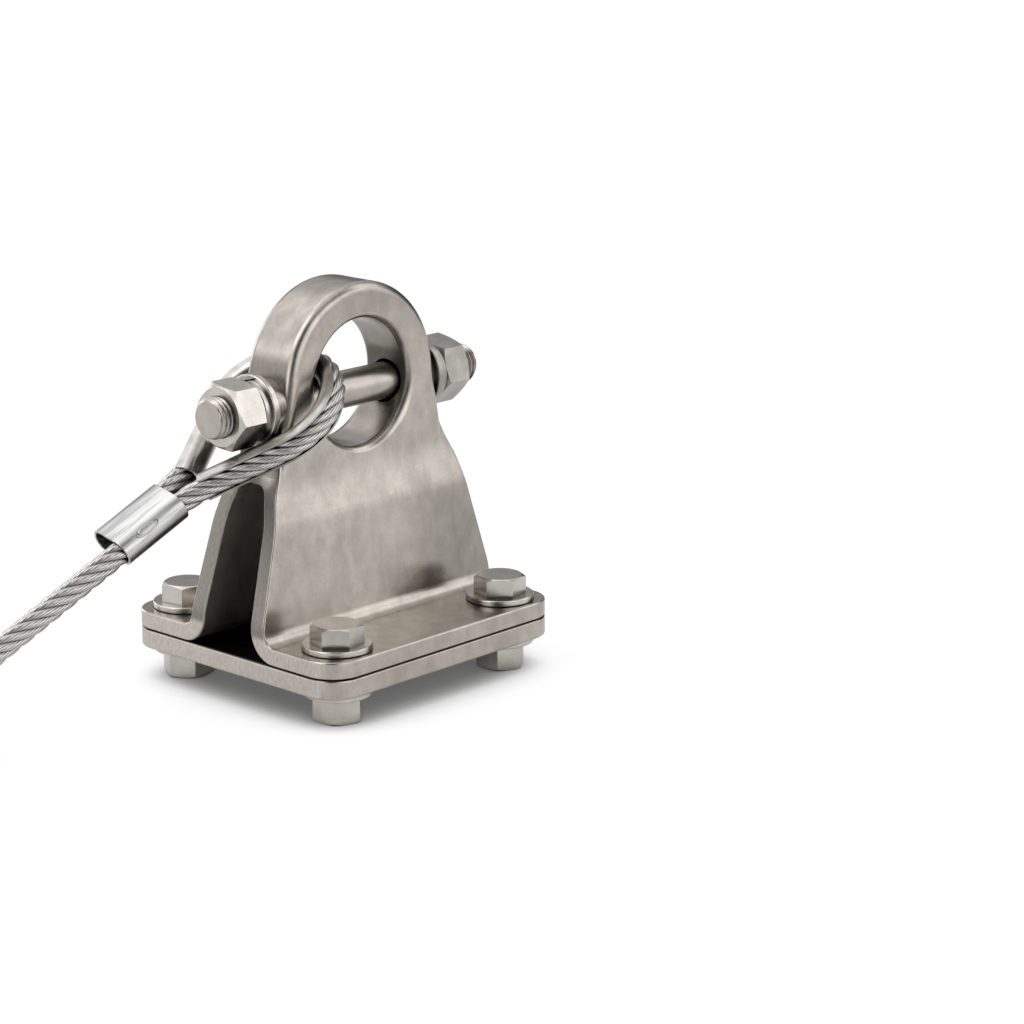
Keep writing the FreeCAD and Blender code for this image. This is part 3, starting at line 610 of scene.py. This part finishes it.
def carriedFrames(line):
    # at each point its tangent, two directions across that don't spin about it, and its run
    across = None
    run = 0
    frames = []
    for index, point in enumerate(line):
        ahead = line[min(index + 1, len(line) - 1)]
        behind = line[max(index - 1, 0)]
        tangent = (ahead - behind).normalized()
        if across is None:
            across = tangent.orthogonal()
        across = (across - tangent * across.dot(tangent)).normalized()
        if index:
            run += (point - line[index - 1]).length
        frames.append((point, tangent, across, tangent.cross(across), run))
    return frames


def addStrand(strand, frames, points, faces, grooves):
    # one strand with its wires, wound about the rope's line
    start = len(points)
    count = rope["wires"] * rope["pointsPerWire"]
    centreRadius = rope["thick"] / 2 - rope["strandRadius"]
    for place, tangent, across, up, run in frames:
        angle = 2 * math.pi * (run / rope["lay"] + strand / rope["strands"])
        outward = across * math.cos(angle) + up * math.sin(angle)
        sideways = tangent.cross(outward)
        turn = -2 * math.pi * run / rope["wireLay"]
        centre = place + outward * centreRadius
        for corner in range(count):
            around = 2 * math.pi * corner / count + turn
            dip = corner % rope["pointsPerWire"] == 0
            radius = rope["strandRadius"] - (rope["wireDepth"] if dip else 0)
            points.append(centre + (outward * math.cos(around) + sideways * math.sin(around)) * radius)
            grooves.append(1.0 if dip else 0.0)
    joinRings(faces, start, len(frames), count)


def addCore(frames, points, faces, grooves):
    # the strand in the middle, dark all over with the painted shade of the grooves
    start = len(points)
    count = rope["corePoints"]
    for place, tangent, across, up, run in frames:
        for corner in range(count):
            around = 2 * math.pi * corner / count
            points.append(place + (across * math.cos(around) + up * math.sin(around)) * rope["strandRadius"])
            grooves.append(1.0)
    joinRings(faces, start, len(frames), count)


def makeRope():
    line = thinned(readRoute(rope["route"], rope["resolution"]), rope["step"])
    frames = carriedFrames(line)
    points = []
    faces = []
    grooves = []
    for strand in range(rope["strands"]):
        addStrand(strand, frames, points, faces, grooves)
    addCore(frames, points, faces, grooves)
    piece = newPiece("wire_rope_strands", points, faces, wireSteel, "wire_rope")
    groove = piece.data.attributes.new("groove", "FLOAT", "POINT")
    groove.data.foreach_set("value", grooves)
    length = frames[-1][4]
    print("rope: %.1f mm long, %d rings" % (length / mm, len(frames)))


makeRope()


# the cross stud, whose ends carry real threads
stud = {
    "length": 139.2 * mm,
    "height": 114.14 * mm,
    "crest": 8 * mm,
    "root": 6.9 * mm,
    "pitch": 2 * mm,
    "flank": (0.12, 0.72),      # where a ridge starts, and how much of half a pitch it climbs
    "shank": 7.35 * mm,
    "shankHalf": 30 * mm,
    "shoulder": 0.01 * mm,
    "chamfer": 0.9 * mm,
    "threadFrom": 50 * mm,
    "around": 72,
    "step": 0.2 * mm,
    "sharp": 32,                # degrees between faces that leave a sharp edge
}


def threadRadius(x, angle):
    # a rounded 60 degree ridge that climbs one pitch a turn
    phase = (x / stud["pitch"] - angle / (2 * math.pi)) % 1
    ridge = 1 - abs(2 * phase - 1)
    start, climb = stud["flank"]
    ridge = min(1, max(0, (ridge - start) / climb))
    return stud["root"] + (stud["crest"] - stud["root"]) * ridge


def studPlaces():
    # where the rings of points stand along X: close in the threads, and two at each shoulder
    half = stud["length"] / 2
    count = int((half - stud["threadFrom"]) / stud["step"]) + 1
    places = [-half + index * stud["step"] for index in range(count)]
    places += [-stud["threadFrom"] + stud["step"], -stud["shankHalf"] - stud["shoulder"], -stud["shankHalf"]]
    return places + [-x for x in reversed(places)]


def studRadius(x, angle):
    if abs(x) <= stud["shankHalf"]:
        return stud["shank"]
    if abs(x) < stud["threadFrom"]:
        return stud["crest"]
    return threadRadius(x, angle)


def makeStud():
    places = studPlaces()
    points = []
    faces = []
    for x in places:
        inset = stud["length"] / 2 - abs(x)
        for corner in range(stud["around"]):
            angle = 2 * math.pi * corner / stud["around"]
            radius = min(studRadius(x, angle), stud["crest"] - stud["chamfer"] + inset)
            height = stud["height"] + radius * math.sin(angle)
            points.append(Vector((x, radius * math.cos(angle), height)))
    joinRings(faces, 0, len(places), stud["around"])
    piece = newPiece("cross_stud_threaded", points, faces, studSteel, "cross_stud")
    piece.data.set_sharp_from_angle(angle=math.radians(stud["sharp"]))


makeStud()
print("stud made")


# the floor and the light of the room
studio = {
    "floorSize": 8,
    "floorTone": 0.85,
    "seenShare": 0.20,       # how much of the floor's own shading the camera sees
    "seenLift": 0.85,        # and what is added to it in the open
    "nearShade": 0.12,       # the share of that left in the darkest painted shadow
    "shadeReach": 60 * mm,
    "shade": (0.10, 0.76),
    "shadeSamples": 16,
    "reflectedShadeSide": (-0.70, -0.72),     # painted shade on the floor where the part reflects it, which the camera doesn't see
    "reflectedShadeSpread": 1.6,
    "dark": (50 * mm, 300 * mm),
    "reflectedShadeShare": 0.6,
    "roomTone": 0.06,        # light from everywhere
    # soft lights of the room: azimuth and elevation in degrees, cosine of the reach, strength
    "lights": [
        (-42.5, 14, 0.90, 1.55),
        (-42.5, 32, 0.90, 0.30),
        (-20, 41, 0.93, 1.70),
        (-90, 20, 0.78, 1.80),
        (42.5, 45, 0.78, 0.70),
        (139, 10, 0.90, 1.90),
        (165, 50, 0.90, 2.45),
        (180, 10, 0.90, 1.95),
        (125, 50, 0.78, 1.20),
        (80, 50, 0.94, 0.75),
        (90, 12, 0.90, 2.50),
        (0, 88, 0.78, 1.00),
    ],
}


def paintedFloorShade(shader):
    # painted shade on the floor that the part reflects: 1 on the darkened part, 0 elsewhere
    east, north, up = shader.parts(shader.place())
    aimEast, aimNorth = studio["reflectedShadeSide"]
    ahead = east * aimEast + north * aimNorth
    aside = abs(east * aimNorth - north * aimEast)
    return shader.smooth(ahead - aside * studio["reflectedShadeSpread"], *studio["dark"])


def makeFloor():
    half = studio["floorSize"] / 2
    corners = [(-half, -half, 0), (half, -half, 0), (half, half, 0), (-half, half, 0)]
    mesh = bpy.data.meshes.new("floor")
    mesh.from_pydata(corners, [], [(0, 1, 2, 3)])
    floor = bpy.data.objects.new("floor", mesh)
    scene.collection.objects.link(floor)
    material, shader = newMaterial("paleFloor")
    seen = shader.node("LightPath", output="Is Camera Ray")
    tone = studio["floorTone"] * (1 - seen * (1 - studio["seenShare"]))
    # painted shade on the floor, only for rays that aren't the camera's
    tone = tone * (1 - (1 - seen) * paintedFloorShade(shader) * studio["reflectedShadeShare"])
    lit = shader.node("BsdfDiffuse", None, {"Color": shader.join(tone, tone, tone)})
    # the camera sees a share of the floor's real shading plus a white lift, and the lift is dimmed near the
    # part by ambient occlusion: a painted shadow
    settings = {"samples": studio["shadeSamples"]}
    openness = shader.node("AmbientOcclusion", settings, {"Distance": studio["shadeReach"]}, "AO")
    clear = shader.smooth(openness, *studio["shade"])
    seenLiftAndShadow = seen * (studio["nearShade"] + clear * (1 - studio["nearShade"])) * studio["seenLift"]
    whiteGlowAndShadow = shader.node("Emission", None, {"Color": shader.join(seenLiftAndShadow, seenLiftAndShadow, seenLiftAndShadow)})
    both = shader.node("AddShader", None, {0: lit, 1: whiteGlowAndShadow})
    shader.node("OutputMaterial", None, {"Surface": both})
    mesh.materials.append(material)


def towards(azimuth, elevation):
    # a direction from two angles in degrees
    level = math.cos(math.radians(elevation))
    turn = math.radians(azimuth)
    return level * math.cos(turn), level * math.sin(turn), math.sin(math.radians(elevation))


def makeWorld():
    # soft lights for the part, and plain white behind it
    world = bpy.data.worlds.new("studio")
    scene.world = world
    shader = Shader(world)
    direction = shader.node("TexCoord", output="Generated")
    tone = studio["roomTone"]
    for azimuth, elevation, reach, strength in studio["lights"]:
        near = shader.dot(direction, towards(azimuth, elevation))
        tone = shader.smooth(near, reach, 1) * strength + tone
    room = shader.node("Background", None, {"Color": shader.join(tone, tone, tone)})
    white = shader.node("Background", None, {"Color": grey(1, 1, 1), "Strength": 1.0})
    seen = shader.node("LightPath", output="Is Camera Ray")
    shown = shader.node("MixShader", None, {0: seen, 1: room, 2: white})
    shader.node("OutputWorld", None, {"Surface": shown})


makeFloor()
makeWorld()
scene.view_settings.view_transform = "Standard"
print("studio made")
